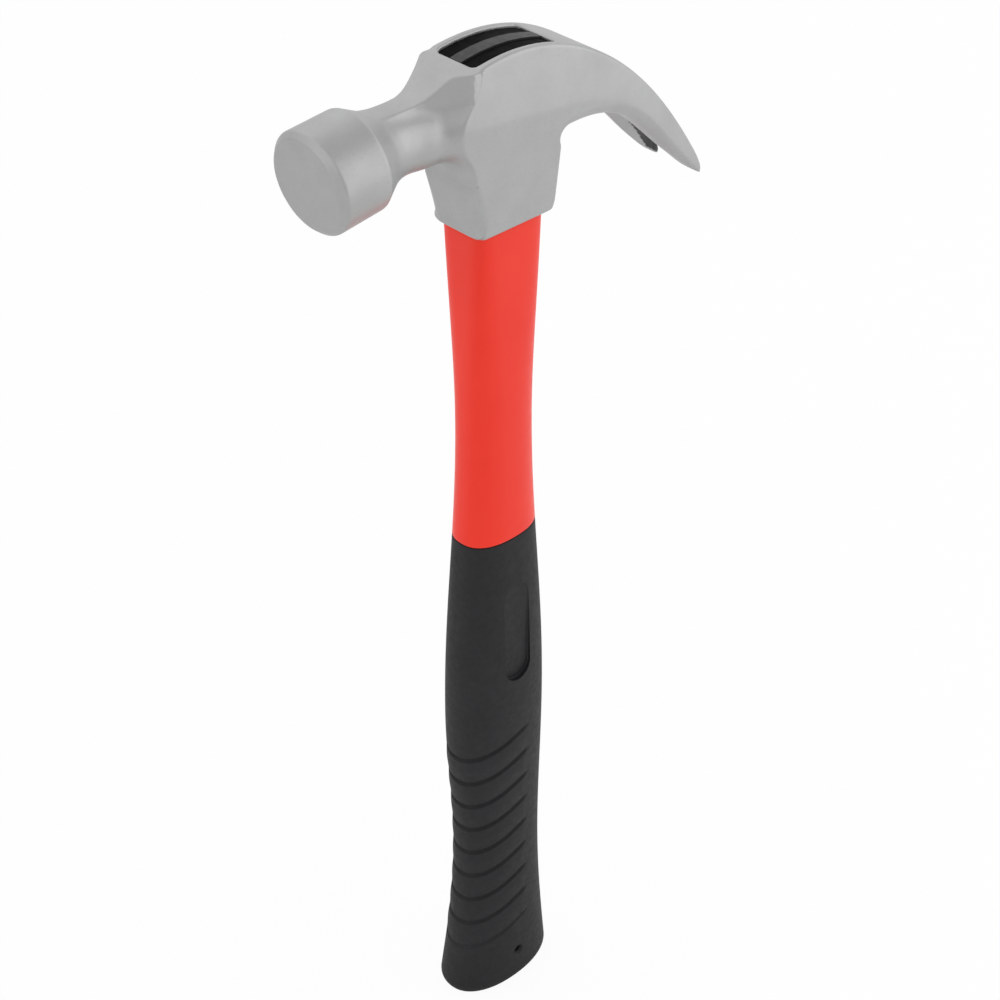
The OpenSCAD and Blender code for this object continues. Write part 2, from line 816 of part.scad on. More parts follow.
module grip() {
    low = [
        for (u = [0, 0.1, 0.35, 0.7, 1])
            grip_ring(butt_round * u, 0, 0)
    ];
    foot_steps = 3;
    foot_top = groove_z - groove_w;
    foot = [
        for (i = [1 : foot_steps])
            grip_ring(butt_round + (foot_top - butt_round) * i / foot_steps, i / foot_steps, 0)
    ];
    grooves = [
        for (k = [0 : groove_count - 1])
            let (z = groove_z + k * groove_pitch)
            each [
                grip_ring(z - groove_w / 2, 1, 0),
                grip_ring(z, 1, groove_d),
                grip_ring(z + groove_w / 2, 1, 0),
                grip_ring(z + groove_pitch / 2, 1, k < groove_count - 1 ? -crest : 0)
            ]
    ];
    neck_steps = 8;
    neck_from = groove_top + groove_pitch / 2;
    upper = [
        for (i = [1 : neck_steps])
            let (u = i / neck_steps)
            grip_ring(neck_from + (grip_l - bond - neck_from) * u, max(0, 1 - 1.6 * u), 0)
    ];
    inside = [for (z = tail_heights) tail_ring(min(z, grip_l - bond), bond)];
    color(black)
        difference() {
            skin(concat(low, foot, grooves, upper, inside, [tail_ring(jacket_z - bond, bond)]));
            for (side = [-1, 1]) {
                panel_recess(side);
                pin_hole(side);
            }
        }
}

// Straight-sided panel with round ends, sunk to a flat floor
module panel_recess(side) {
    floor_y = half_width(panel_z) - panel_d;
    reach = panel_l / 2 - panel_w / 2;
    translate([0, side * (floor_y + 2 * panel_d), panel_z])
        rotate([90, 0, 0])
            linear_extrude(4 * panel_d, center = true) {
                square([panel_w, 2 * reach], center = true);
                for (end = [-1, 1])
                    translate([0, end * reach]) circle(panel_w / 2);
            }
}

module pin_hole(side) {
    surface_y = half_width(pin_hole_z);
    translate([0, side * (surface_y - pin_hole_depth), pin_hole_z])
        rotate([-90 * side, 0, 0])
            cylinder(h = pin_hole_depth + over, d = pin_hole_d);
}

head();
core();
jacket();
grip();
eye_resin();
wedge();
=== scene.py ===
"""Looks of the claw hammer: forged steel head, moulded jacket, grooved rubber grip, filled eye.

Shapes are worked out in millimetres. In the head's own side view, x runs from the striking face
to the claws and h is the height above the head's lower rim.
"""

import json
import math

import bpy
import numpy as np
from mathutils import Matrix, Vector


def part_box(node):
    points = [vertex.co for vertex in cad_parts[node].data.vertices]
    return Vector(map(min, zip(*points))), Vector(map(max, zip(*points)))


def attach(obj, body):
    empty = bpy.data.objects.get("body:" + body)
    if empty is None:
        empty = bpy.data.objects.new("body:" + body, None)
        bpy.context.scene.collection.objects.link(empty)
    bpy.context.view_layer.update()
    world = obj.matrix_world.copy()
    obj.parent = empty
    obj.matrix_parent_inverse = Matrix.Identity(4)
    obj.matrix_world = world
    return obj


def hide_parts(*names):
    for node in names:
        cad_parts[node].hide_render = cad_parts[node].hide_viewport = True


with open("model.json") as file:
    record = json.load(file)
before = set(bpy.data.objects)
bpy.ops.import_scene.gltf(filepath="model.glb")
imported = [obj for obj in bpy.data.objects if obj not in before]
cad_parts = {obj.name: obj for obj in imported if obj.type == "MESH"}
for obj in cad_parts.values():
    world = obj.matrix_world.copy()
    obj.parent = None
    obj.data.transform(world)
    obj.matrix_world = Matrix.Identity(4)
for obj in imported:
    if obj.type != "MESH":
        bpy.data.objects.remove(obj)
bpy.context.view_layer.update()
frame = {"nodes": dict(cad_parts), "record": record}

MM = 0.001
SKIN = 0.08  # how far the visible surface lies inside the CAD one, so that it stays in the CAD box

mounts = {m["name"]: m for m in frame["record"]["mounts"]}
face = mounts["striking_face"]
NECK_Z = 31.9  # height of the neck's axis above the head's lower rim
POLL_REACH = 16.65  # from the striking face to the point about which the poll is tipped
POLL_COS, POLL_SIN = -face["axis"][0], -face["axis"][2]
PIVOT_X = face["pos_m"][0] / MM + POLL_REACH * POLL_COS
RIM_Z = face["pos_m"][2] / MM + POLL_REACH * POLL_SIN - NECK_Z
HEAD_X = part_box("head")[0].x / MM
CLAW_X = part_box("head")[1].x / MM
HANDLE_L = RIM_Z


# ---- Small helpers ----

def smoothstep(v, low, high):
    u = np.clip((v - low) / (high - low), 0, 1)
    return u * u * (3 - 2 * u)


def round_max(a, b, r):
    """Intersection of two distance fields, with an edge of radius r"""
    return (
        np.minimum(np.maximum(a + r, b + r), 0)
        + np.hypot(np.maximum(a + r, 0), np.maximum(b + r, 0))
        - r
    )


def smooth_min(a, b, k):
    """Union of two distance fields, with the hollow between them filled over a width k"""
    h = np.maximum(k - np.abs(a - b), 0) / k
    return np.minimum(a, b) - h * h * k / 4


def bezier(points, n):
    t = np.linspace(0, 1, n)[:, None]
    p = np.array(points, float)
    return (
        (1 - t) ** 3 * p[0]
        + 3 * (1 - t) ** 2 * t * p[1]
        + 3 * (1 - t) * t * t * p[2]
        + t**3 * p[3]
    )


def arc(cx, cy, r, start, end, n):
    t = np.radians(np.linspace(start, end, n))
    return np.stack([cx + r * np.cos(t), cy + r * np.sin(t)], 1)


def path_distance(x, h, path):
    """Distance in the side view to an open path"""
    best = np.full(np.broadcast(x, h).shape, 1e9)
    for a, b in zip(path[:-1], path[1:]):
        d = b - a
        t = np.clip(((x - a[0]) * d[0] + (h - a[1]) * d[1]) / (d @ d), 0, 1)
        best = np.minimum(best, (x - a[0] - t * d[0]) ** 2 + (h - a[1] - t * d[1]) ** 2)
    return np.sqrt(best)


def inside_loop(x, h, loop):
    odd = np.zeros(np.broadcast(x, h).shape, bool)
    for a, b in zip(loop, np.roll(loop, -1, 0)):
        if a[1] == b[1]:
            continue
        crosses = (a[1] > h) != (b[1] > h)
        odd ^= crosses & (x < a[0] + (h - a[1]) / (b[1] - a[1]) * (b[0] - a[0]))
    return odd


# ---- Head: outlines in the side view ----

CHEEK_FRONT, CHEEK_BACK, HEAD_H = -15.5, 14.8, 47.0
CROWN_FRONT, CROWN_LEAN_H = -13.2, 43.0
RIM_FRONT, RIM_DRAW_H, RIM_BACK_X, HEEL_H = -13.7, 14.0, 12.2, 3.4
ARCH_R, ARCH_Z = 3.0, 22.2
CLAW_DROP, TIP_T = 9.4, 1.2

CROWN = bezier([(CHEEK_FRONT, HEAD_H), (23.33, 55.7), (52.2, 24.3), (CLAW_X, -CLAW_DROP)], 97)
CROWN = np.concatenate([[(CROWN_FRONT, HEAD_H)], CROWN[CROWN[:, 0] > CROWN_FRONT + 0.5]])
ARCH = arc(CHEEK_BACK + ARCH_R, ARCH_Z - ARCH_R, ARCH_R, 180, 90, 9)
UNDER_TIP = (CLAW_X - 0.8 * TIP_T, -CLAW_DROP - TIP_T)
UNDER_CURVE = bezier([ARCH[-1], (45.8, ARCH_Z + 1), (46.8, 4.2), UNDER_TIP], 41)
UNDER = np.concatenate([ARCH, UNDER_CURVE[1:]])
RIM_BACK = bezier([(RIM_BACK_X, 0), (13.1, 0.6), (13.5, 1.8), (13.65, HEEL_H)], 7)
BACK = np.concatenate([RIM_BACK, ARCH[:1]])
RIM_NOSE_R = 1.1
RIM_NOSE = arc(RIM_FRONT + RIM_NOSE_R, RIM_NOSE_R, RIM_NOSE_R, 188, 270, 5)
FRONT = np.concatenate([
    [(CROWN_FRONT, HEAD_H), (CROWN_FRONT, CROWN_LEAN_H)],
    [(CHEEK_FRONT, NECK_Z), (CHEEK_FRONT, RIM_DRAW_H)],
    RIM_NOSE,
])
RIM = np.array([RIM_NOSE[-1], RIM_BACK[0]])
TIP = np.array([CROWN[-1], UNDER[-1]])
LOOP = np.concatenate([CROWN, UNDER[::-1], BACK[-2::-1], RIM[-2::-1], FRONT[-2:0:-1]])

# radii of the edges where the outline meets the sides
TOP_EDGE, UNDER_EDGE, BACK_EDGE, RIM_EDGE, TIP_EDGE = 1.0, 3.4, 1.8, 1.0, 0.4
# the front edge's radius grows from the upper height down to the rim's corner
FRONT_EDGE, RIM_CORNER, CORNER_LOW, CORNER_HIGH = 0.6, 4.2, 2, 24

# the parting line: its height at the front of the cheek, how it falls, its share of the claws
PARTING_H, PARTING_SLOPE, PARTING_SHARE = 32.9, 4.2 / 32.5, 0.3
CHEEK_END, CLAW_START = 11, 21
# half width of the head along the parting line, and how much narrower the claws' tips are
CHEEK_HALF, CLAW_LOSS, CLAW_LOSS_FROM, CLAW_LOSS_OVER = 11.3, 1.2, 17, 54
SIDE_LEAN, LEAN_CHANGE = 0.096, 0.0365
TIP_CORNER, TIP_DRAW = 4.0, 0.4


def closeness(distance):
    """How much a stretch of the outline counts at a distance from it"""
    return 1 / (distance * distance + 0.3) ** 2


def side_view(x, h):
    """What the side view says of a point

    Its distance to the outline, the radius of the edge near it, the head's half width there, its
    height above the claws' underside, the claws' thickness, and its share in the underside.
    """
    crown, under = path_distance(x, h, CROWN), path_distance(x, h, UNDER)
    back, rim = path_distance(x, h, BACK), path_distance(x, h, RIM)
    front, tip = path_distance(x, h, FRONT), path_distance(x, h, TIP)
    near = np.minimum.reduce([crown, under, back, rim, front, tip])
    outline = np.where(inside_loop(x, h, LOOP), -near, near)
    below = (outline > 0) & (under < crown)
    beyond = (outline > 0) & (crown <= under)
    up, down = np.where(below, -under, under), np.where(beyond, -crown, crown)
    thick = np.maximum(up + down, 0.2)

    edges = [
        (crown, np.minimum(TOP_EDGE, 0.3 * thick)),
        (under, np.minimum(UNDER_EDGE, 0.35 * thick)),
        (back, BACK_EDGE),
        (rim, RIM_EDGE),
        (front, RIM_CORNER + (FRONT_EDGE - RIM_CORNER) * smoothstep(h, CORNER_LOW, CORNER_HIGH)),
        (tip, TIP_EDGE),
    ]
    weight = sum(closeness(distance) for distance, r in edges)
    edge = sum(closeness(distance) * r for distance, r in edges) / weight
    lower = closeness(under) / weight

    # the head is widest along the parting line, above and below which its sides lean in
    from_cheek = h - (PARTING_H - PARTING_SLOPE * (x - CHEEK_FRONT))
    from_claw = up - PARTING_SHARE * thick
    above = from_cheek + (from_claw - from_cheek) * smoothstep(x, CHEEK_END, CLAW_START)
    lean = SIDE_LEAN + LEAN_CHANGE * np.tanh(above)
    half = CHEEK_HALF - CLAW_LOSS * np.clip((x - CLAW_LOSS_FROM) / CLAW_LOSS_OVER, 0, 1)
    into_tip = np.clip(x - CLAW_X + TIP_CORNER + 1, 0, TIP_CORNER)
    corner = TIP_CORNER - np.sqrt(TIP_CORNER**2 - into_tip**2)
    width = half - lean * (np.sqrt(above * above + 1) - 1) - TIP_DRAW * corner
    return outline, edge, width, up, thick, lower


# ---- Head: poll, neck, flare and ridge ----

# the neck is a little thinner than NECK_R behind the poll and gains on the way to the cheeks
NECK_R, NECK_THIN, NECK_GAIN = 8.3, 0.4, 0.9
NECK_GAIN_FROM, NECK_GAIN_TO = -38, -26
NECK_START, NECK_END = -42, -15
FLARE_DOWN, FLARE_SIDE, FLARE_UP = 8.0, 14.0, 10.0
FLARE_START, FLARE_FADE = -40, 0.12
POCKET = 2.6  # how far the flare's end lies further back beside the ridge
POLL_END = 32  # where the turned body ends inside the neck
NECK_BLEND, FLARE_BLEND = 2.2, 0.8  # widths over which poll, neck and flare run together

# the poll's profile along its own axis, from the striking face to where it dives into the neck
POLL_PROFILE = np.array([
    (-1, 11.0), (1.7, 13.7), (15.1, 13.52), (17.9, 11.85), (19.5, 10.9),
    (21.0, 10.1), (24.0, 8.85), (28.0, 7.7), (32.0, 6.2), (40.0, 3.0),
])

# the ridge from the shoulder up to the crown: x, height of its top, half width
RIDGE = np.array([
    (-41, 41.4, 3.5), (-33, 41.5, 3.5), (-29.5, 41.6, 3.7), (-27, 42.2, 4.1),
    (-25.5, 42.9, 4.5), (-24, 43.8, 4.9), (-22.5, 44.8, 5.4), (-21, 46.0, 5.8),
    (-19.5, 46.8, 6.6), (-18, HEAD_H, 7.7), (-16.5, HEAD_H, 8.9), (-14, HEAD_H, 10.0),
])
RIDGE_START, RIDGE_END = -44, -13
RIDGE_SPREAD = 0.2  # how much each flank spreads for each millimetre down


def softened(samples):
    """Evenly spaced samples with their corners rounded by a bell of 5 samples' deviation"""
    reach = 16
    bell = np.exp(-0.5 * (np.arange(-reach, reach + 1) / 5) ** 2)
    return np.convolve(np.pad(samples, reach, mode="edge"), bell / bell.sum(), mode="valid")


TURN_S = np.arange(-1, 40, 0.05)
TURN_R = softened(np.interp(TURN_S, POLL_PROFILE[:, 0], POLL_PROFILE[:, 1]))
TURN_SLOPE = np.gradient(TURN_R, TURN_S)
RIDGE_X = np.arange(-41, -14, 0.1)
RIDGE_H = softened(np.interp(RIDGE_X, RIDGE[:, 0], RIDGE[:, 1]))
RIDGE_HALF = softened(np.interp(RIDGE_X, RIDGE[:, 0], RIDGE[:, 2]))


def poll_field(x, y, h):
    """The poll and its shoulder, turned about their tipped axis"""
    dx, dh = x - PIVOT_X, h - NECK_Z
    s = POLL_REACH + dx * POLL_COS + dh * POLL_SIN
    rho = np.hypot(y, dh * POLL_COS - dx * POLL_SIN)
    slope = np.interp(s, TURN_S, TURN_SLOPE)
    turned = (rho - np.interp(s, TURN_S, TURN_R)) / np.sqrt(1 + slope * slope)
    turned = round_max(turned, -s, 0.35)
    return np.maximum(turned, s - POLL_END)


def neck_field(x, rho):
    """A bar that thickens from the poll towards the cheeks"""
    gain = NECK_GAIN * smoothstep(x, NECK_GAIN_FROM, NECK_GAIN_TO)
    bar = rho - NECK_R + NECK_THIN - gain
    return np.maximum(bar, np.maximum(x - NECK_END, NECK_START - x))


def flare_field(x, y, h, rho, width, ridge_h):
    """The hollow curve that spreads the neck out to the cheeks, wider at the sides than above"""
    v = h - NECK_Z
    sideways = (y / rho) ** 2
    level = np.where(v > 0, FLARE_UP, FLARE_DOWN)
    r = level + (FLARE_SIDE - level) * sideways
    end = CHEEK_FRONT + POCKET * smoothstep(v, 3, 12)
    cx, cr = end - r, NECK_R + r
    horn = r - np.hypot(np.maximum(x - cx, 0), np.maximum(cr - rho, 0))
    horn = horn + FLARE_FADE * np.maximum(cx + 1 - x, 0)
    horn = np.maximum(np.maximum(horn, rho - cr), np.maximum(x - end - 1.5, FLARE_START - x))
    front = np.interp(h, [NECK_Z, CROWN_LEAN_H], [CHEEK_FRONT, CROWN_FRONT])
    inset = 0.6 * smoothstep(x, front + 0.6, front + 2.4)
    horn = round_max(horn, np.abs(y) - width + inset, 0.5)
    return round_max(horn, h - ridge_h + 0.1, 0.7)


def ridge_field(x, y, h, width, ridge_h):
    """The flat-topped ridge over the neck, whose flanks spread a little towards its foot"""
    top = h - ridge_h - 0.3 * np.minimum(x - RIDGE_X[0], 0)
    half = np.interp(x, RIDGE_X, RIDGE_HALF) + RIDGE_SPREAD * np.maximum(-top, 0)
    flank = (np.abs(y) - np.minimum(half, width - 0.06)) * 0.95
    ridge = round_max(top * 0.95, flank, 0.45)
    return np.maximum(np.maximum(ridge, NECK_Z - h), np.maximum(x - RIDGE_END, RIDGE_START - x))


def striking_end(x, y, h, width):
    """Poll, neck, flare and ridge as one body"""
    rho = np.hypot(y, h - NECK_Z) + 1e-6
    ridge_h = np.interp(x, RIDGE_X, RIDGE_H)
    turned = smooth_min(poll_field(x, y, h), neck_field(x, rho), NECK_BLEND)
    neck = smooth_min(turned, flare_field(x, y, h, rho, width, ridge_h), FLARE_BLEND)
    # surfaces that lie in one plane would swell where they blend, so the blend narrows there
    merge = 0.2 + 1.2 * np.clip((width - np.abs(y) - 0.4) / 2, 0, 1)
    return smooth_min(neck, ridge_field(x, y, h, width, ridge_h), merge)


# ---- Head: eye and nail slot ----

EYE_ROUND = 1.7


def eye_size(h):
    """Middle, half length and half width of the eye at a height"""
    u = h / HEAD_H
    return -0.15 + 1.35 * u, 9.8 + 4.3 * u, 5.9 + 1.0 * u


def eye_field(x, y, h):
    middle, a, b = eye_size(h)
    qx = np.abs(x - middle) - a + EYE_ROUND
    qy = np.abs(y) - b + EYE_ROUND
    corner = np.hypot(np.maximum(qx, 0), np.maximum(qy, 0))
    return corner + np.minimum(np.maximum(qx, qy), 0) - EYE_ROUND


SLOT_ROOT_X, SLOT_SPREAD, SLOT_ROOT_R, SLOT_TIP_HALF = CLAW_X - 30, 26, 2.0, 6.3
MOUTH_R, MOUTH_GAIN = 6, 1.8
# the bevel's height, which is less near the tips, and how far it spreads for each millimetre
BEVEL_LEAST, BEVEL_GAIN, BEVEL_FROM, BEVEL_TO, BEVEL_SLOPE = 0.3, 2.5, 57, 68, 0.73
BELLY = 0.7  # how far the claws' underside rises to its outer edge


def slot_field(x, y, up, thick):
    """(slot with its bevelled lower edges, its upright walls alone)"""
    spread = np.clip((x - SLOT_ROOT_X) / SLOT_SPREAD, 0, 1)
    mouth = MOUTH_R - np.sqrt(MOUTH_R**2 - np.clip(x - CLAW_X + MOUTH_R, 0, MOUTH_R) ** 2)
    half = SLOT_ROOT_R + (SLOT_TIP_HALF - SLOT_ROOT_R) * spread + mouth * MOUTH_GAIN / MOUTH_R
    root = np.hypot(x - SLOT_ROOT_X, y) - SLOT_ROOT_R
    wall = np.where(x < SLOT_ROOT_X, root, (np.abs(y) - half) * 0.99)
    rise = BEVEL_LEAST + BEVEL_GAIN * (1 - smoothstep(x, BEVEL_FROM, BEVEL_TO))
    rise = np.minimum(rise, 0.5 * thick)
    bevel = (wall - BEVEL_SLOPE * (rise - up)) * 0.8
    return np.minimum(wall, bevel), wall


def belly(x, y):
    """How far each claw's underside lies below the outline: it rises towards the outer edge"""
    along_claw = smoothstep(x, 34, 50) * (1 - smoothstep(x, 58, 69))
    return -BELLY * along_claw * smoothstep(np.abs(y), 5, 10)


def head_parts(x, y, h):
    """(distance to the finished head, painted shade on the slot's walls, deepest towards the tips)"""
    outline, edge, width, up, thick, lower = side_view(x, h)
    hang = belly(x, y)
    up = up + hang
    block = round_max(outline - hang * lower, np.abs(y) - width, edge)
    join = 0.02 + 0.58 * np.clip(width - np.abs(y) - 0.1, 0, 1)
    body = smooth_min(block, striking_end(x, y, h, width), join)
    slot, wall = slot_field(x, y, up, thick)
    body = round_max(body, -eye_field(x, y, h), 0.7)
    solid = round_max(body, -slot, 0.5) + SKIN
    # painted shade: the slot's walls get a near-black tone where shadow falls in the slot, growing
    # darker towards the tips
    on_wall = (np.abs(wall) < 0.3) & (body < -0.45) & (up > 0.5) & (x > 36)
    return solid, np.where(on_wall, 0.8 + 0.2 * smoothstep(x, 54, 68), 0.0)


def head_field(x, y, h):
    return head_parts(x, y, h)[0]


def surface_net(values, axes):
    """Quads on the zero surface of a field sampled on a grid"""
    cells = np.array(values.shape) - 1
    solid = values < 0
    points, owners, quads = [], [], []
    for axis in range(3):
        low = [slice(None)] * 3
        high = [slice(None)] * 3
        low[axis], high[axis] = slice(None, -1), slice(1, None)
        low, high = tuple(low), tuple(high)
        at = np.argwhere(solid[low] != solid[high])
        a, b = values[low][tuple(at.T)], values[high][tuple(at.T)]
        place = np.stack([axes[i][at[:, i]] for i in range(3)], 1)
        after = axes[axis][at[:, axis] + 1]
        place[:, axis] += (after - place[:, axis]) * a / (a - b)
        s, t = (axis + 1) % 3, (axis + 2) % 3
        around = []
        for ds, dt in ((0, 0), (-1, 0), (-1, -1), (0, -1)):
            cell = at.copy()
            cell[:, s] += ds
            cell[:, t] += dt
            around.append(np.ravel_multi_index(tuple(cell.T), tuple(cells)))
            points.append(place)
            owners.append(around[-1])
        quad = np.stack(around, 1)
        inward = a > 0
        quad[inward] = quad[inward][:, ::-1]
        quads.append(quad)
    owners, points, quads = map(np.concatenate, (owners, points, quads))
    ids, inverse = np.unique(owners, return_inverse=True)
    count = np.bincount(inverse)
    centre = np.stack([np.bincount(inverse, points[:, i]) / count for i in range(3)], 1)
    return centre, np.searchsorted(ids, quads)


def gradient(field, p, e=0.02):
    g = np.empty_like(p)
    for i in range(3):
        step = np.zeros(3)
        step[i] = e
        g[:, i] = (field(*(p + step).T) - field(*(p - step).T)) / (2 * e)
    return g


def add_mesh(name, points, faces, material, normals=None):
    """A new object from points in millimetres"""
    mesh = bpy.data.meshes.new(name)
    mesh.from_pydata((np.asarray(points) * MM).tolist(), [], faces)
    mesh.polygons.foreach_set("use_smooth", [True] * len(mesh.polygons))
    if normals is not None:
        mesh.normals_split_custom_set_from_vertices(normals.tolist())
    mesh.materials.append(material)
    mesh.update()
    obj = bpy.data.objects.new(name, mesh)
    bpy.context.scene.collection.objects.link(obj)
    return obj


def make_head(material):
    """The head's surface: a net over a grid, then drawn onto the field's zero surface"""
    step = 0.42
    xs = np.arange(HEAD_X - 0.5, CLAW_X + 1, step)
    ys = np.arange(-15.3, 15.4, step)
    hs = np.arange(-CLAW_DROP - 2, HEAD_H + 4, step)
    values = head_field(xs[:, None, None], ys[None, :, None], hs[None, None, :])
    p, quads = surface_net(values, (xs, ys, hs))
    for _ in range(2):
        g = gradient(head_field, p)
        f = head_field(*p.T)
        move = f[:, None] * g / np.maximum((g * g).sum(1), 0.2)[:, None]
        length = np.linalg.norm(move, axis=1)[:, None]
        p -= move * np.minimum(1, 0.3 / np.maximum(length, 1e-9))
    normals = gradient(head_field, p, 0.06)
    normals /= np.linalg.norm(normals, axis=1)[:, None]
    # painted shade for the slot's walls, kept as a point attribute for the steel material
    wall = head_parts(*p.T)[1]
    obj = add_mesh("forged_head", p + [0, 0, RIM_Z], quads.tolist(), material, normals)
    painted_shade = obj.data.attributes.new("slot_wall_painted_shade", "FLOAT", "POINT")
    painted_shade.data.foreach_set("value", wall.astype(np.float32))
    return obj


# ---- Handle: sections ----

WAIST_Z, SWELL_Z, SLIM_Z, GRIP_L = 62.0, 115.0, 220.0, 181.0
BUTT_ROUND, GRIP_WALL, JACKET_Z, BOND = 4.5, 3.0, 9.0, 0.05
LIP = 0.5  # radius of the edges where jacket, grip and head meet
SPIGOT_L = 14  # how far the jacket's spigot reaches into the eye


def ease(u):
    return (1 - np.cos(np.pi * u)) / 2


def flare(u):
    return 1 - np.cos(np.pi / 2 * u)


def along(z, butt, waist, swell, slim, collar):
    """A value along the handle, from the five places where it is given"""
    z = np.asarray(z, float)
    return np.select(
        [z <= WAIST_Z, z <= SWELL_Z, z <= SLIM_Z],
        [
            waist + (butt - waist) * flare(1 - z / WAIST_Z),
            waist + (swell - waist) * ease((z - WAIST_Z) / (SWELL_Z - WAIST_Z)),
            swell + (slim - swell) * ease((z - SWELL_Z) / (SLIM_Z - SWELL_Z)),
        ],
        slim + (collar - slim) * flare((z - SLIM_Z) / (HANDLE_L - SLIM_Z)),
    )


def half_depth(z):
    return along(z, butt=41, waist=30.7, swell=33.6, slim=23.4, collar=23.8) / 2


def half_width(z):
    return along(z, butt=25, waist=20.2, swell=22.2, slim=15.6, collar=16.8) / 2


def section(z, inset, t, drop=None):
    """Points round the handle at angles t from its front

    z and inset are numbers, or hold one value for each point.
    """
    p = along(z, butt=2.2, waist=2.2, swell=2.2, slim=2.5, collar=5.5)
    shift = along(z, butt=-0.6, waist=0.8, swell=0, slim=0, collar=-0.3)
    c, s = np.cos(t), np.sin(t)
    a, b = half_depth(z) - inset, half_width(z) - inset
    x = -a * np.sign(c) * np.abs(c) ** (2 / p) + shift
    y = -b * np.sign(s) * np.abs(s) ** (2 / p)
    level = np.broadcast_to(z if drop is None else drop, x.shape)
    return np.stack([x, y, level], 1)


def tail(z, inset, t):
    """The jacket under the grip: it runs straight down from the waist"""
    return section(np.maximum(z, WAIST_Z), inset, t, drop=z)


def rounded_box(h, gap, t):
    middle, a, b = eye_size(h)
    a, b, r = a - gap, b - gap, EYE_ROUND
    c, s = np.cos(t), np.sin(t)
    return np.stack([
        middle - (a - r) * np.sign(c) - r * c,
        -(b - r) * np.sign(s) - r * s,
        np.full(t.shape, RIM_Z + h),
    ], 1)


def loft(rings):
    """Points and faces of a closed body through rings of equally many points"""
    n = len(rings[0])
    points = np.concatenate([*rings, [rings[0].mean(0)], [rings[-1].mean(0)]])
    j = np.arange(n)
    k = (j + 1) % n
    faces = []
    for i in range(len(rings) - 1):
        quad = np.stack([i * n + k, i * n + j, (i + 1) * n + j, (i + 1) * n + k], 1)
        faces.extend(quad[:, ::-1].tolist())
    first, last = len(rings) * n, len(rings) * n + 1
    end = (len(rings) - 1) * n
    faces.extend([[first, int(b), int(a)] for a, b in zip(j, k)])
    faces.extend([[last, int(end + a), int(end + b)] for a, b in zip(j, k)])
    return points, faces


def ring_angles(n):
    return (np.arange(n) + 0.5) * 2 * np.pi / n


def edge_inset(distance, r):
    """How far a rounded edge of radius r is drawn in at a distance from the end"""
    d = np.clip(distance, 0, r)
    return r - np.sqrt(r * r - (r - d) ** 2)


def make_jacket(material):
    t = ring_angles(192)
    rings = [tail(z, GRIP_WALL, t) for z in np.arange(JACKET_Z, GRIP_L, 6)]
    rings.append(tail(GRIP_L, GRIP_WALL, t))
    rings += [section(GRIP_L + d, SKIN + edge_inset(d, LIP), t) for d in np.linspace(0, LIP, 6)]
    rings += [section(z, SKIN, t) for z in np.linspace(GRIP_L + 1, HANDLE_L - 1, 90)]
    top = HANDLE_L - BOND
    rings += [section(top - d, SKIN + edge_inset(d, LIP), t) for d in np.linspace(LIP, 0, 6)]
    foot = rounded_box(0, BOND, t)
    foot[:, 2] = top
    rings += [foot, rounded_box(1, BOND, t), rounded_box(SPIGOT_L, BOND, t)]
    obj = add_mesh("jacket_sleeve", *loft(rings), material)
    obj.data.set_sharp_from_angle(angle=math.radians(50))
    return obj


GROOVES, GROOVE_Z, GROOVE_PITCH, GROOVE_CLIMB = 9, 20.6, 10.1, 6.4
GROOVE_DEEP, GROOVE_HALF, FIRST_SHARE = 1.0, 1.05, 0.5  # the lowest groove is half as deep
GROOVE_WRAP, GROOVE_FADE = 105.0, 12  # degrees from the front to where a groove has died out
RIB_RISE = 0.2


def groove_depth(z, t):
    """Depth of the finger grooves at a height at the front, and at angles from the front"""
    a = np.degrees(np.minimum(t, 2 * np.pi - t))
    share = ease(np.clip((GROOVE_WRAP - a) / GROOVE_FADE, 0, 1))
    k = np.clip(np.round((z - GROOVE_Z) / GROOVE_PITCH), 0, GROOVES - 1)
    off = abs(z - GROOVE_Z - k * GROOVE_PITCH)
    cut = GROOVE_DEEP * max(0.0, 1 - (off / GROOVE_HALF) ** 2) ** 1.2
    if k == 0:
        cut *= FIRST_SHARE
    rib = 0
    if GROOVE_Z < z < GROOVE_Z + (GROOVES - 1) * GROOVE_PITCH:
        rib = RIB_RISE * (1 - math.cos(2 * math.pi * off / GROOVE_PITCH)) / 2
    return share * (cut - rib)


def make_grip(material):
    t = ring_angles(256)
    rings = []

    def outer(z, follow, cut):
        level = z + follow * GROOVE_CLIMB * (1 - np.cos(t))
        rings.append(section(level, SKIN + edge_inset(level, BUTT_ROUND) + cut, t))

    centre = section(0, BUTT_ROUND, t).mean(0)
    for share in (0.25, 0.6, 0.9):
        rings.append(centre + (section(0, SKIN + BUTT_ROUND, t) - centre) * share)
    for u in np.linspace(0, 90, 14):
        outer(BUTT_ROUND * (1 - math.cos(math.radians(u))), 0, 0)
    foot_top = GROOVE_Z - 2.6
    for z in np.linspace(BUTT_ROUND, foot_top, 30)[1:]:
        u = (z - BUTT_ROUND) / (foot_top - BUTT_ROUND)
        outer(z, u, groove_depth(z, t))
    last = GROOVE_Z + (GROOVES - 1) * GROOVE_PITCH + GROOVE_PITCH / 2
    row = 0.2
    for z in np.arange(foot_top + row, last, row):
        outer(z, 1, groove_depth(z, t))
    top = GRIP_L - BOND
    for z in np.linspace(last, top - LIP, 90)[1:]:
        u = (z - last) / (top - last)
        outer(z, max(0, 1 - 1.6 * u), 0)
    for d in np.linspace(LIP, 0, 6)[1:]:
        rings.append(section(top - d, SKIN + edge_inset(d, LIP), t))
    inner = GRIP_WALL - BOND
    for z in np.linspace(top, JACKET_Z - BOND, 30):
        rings.append(tail(z, inner, t))
    obj = add_mesh("rubber_grip", *loft(rings), material)
    cut_away(obj, grip_cutters())
    obj.data.polygons.foreach_set("use_smooth", [True] * len(obj.data.polygons))
    obj.data.set_sharp_from_angle(angle=math.radians(38))
    return obj


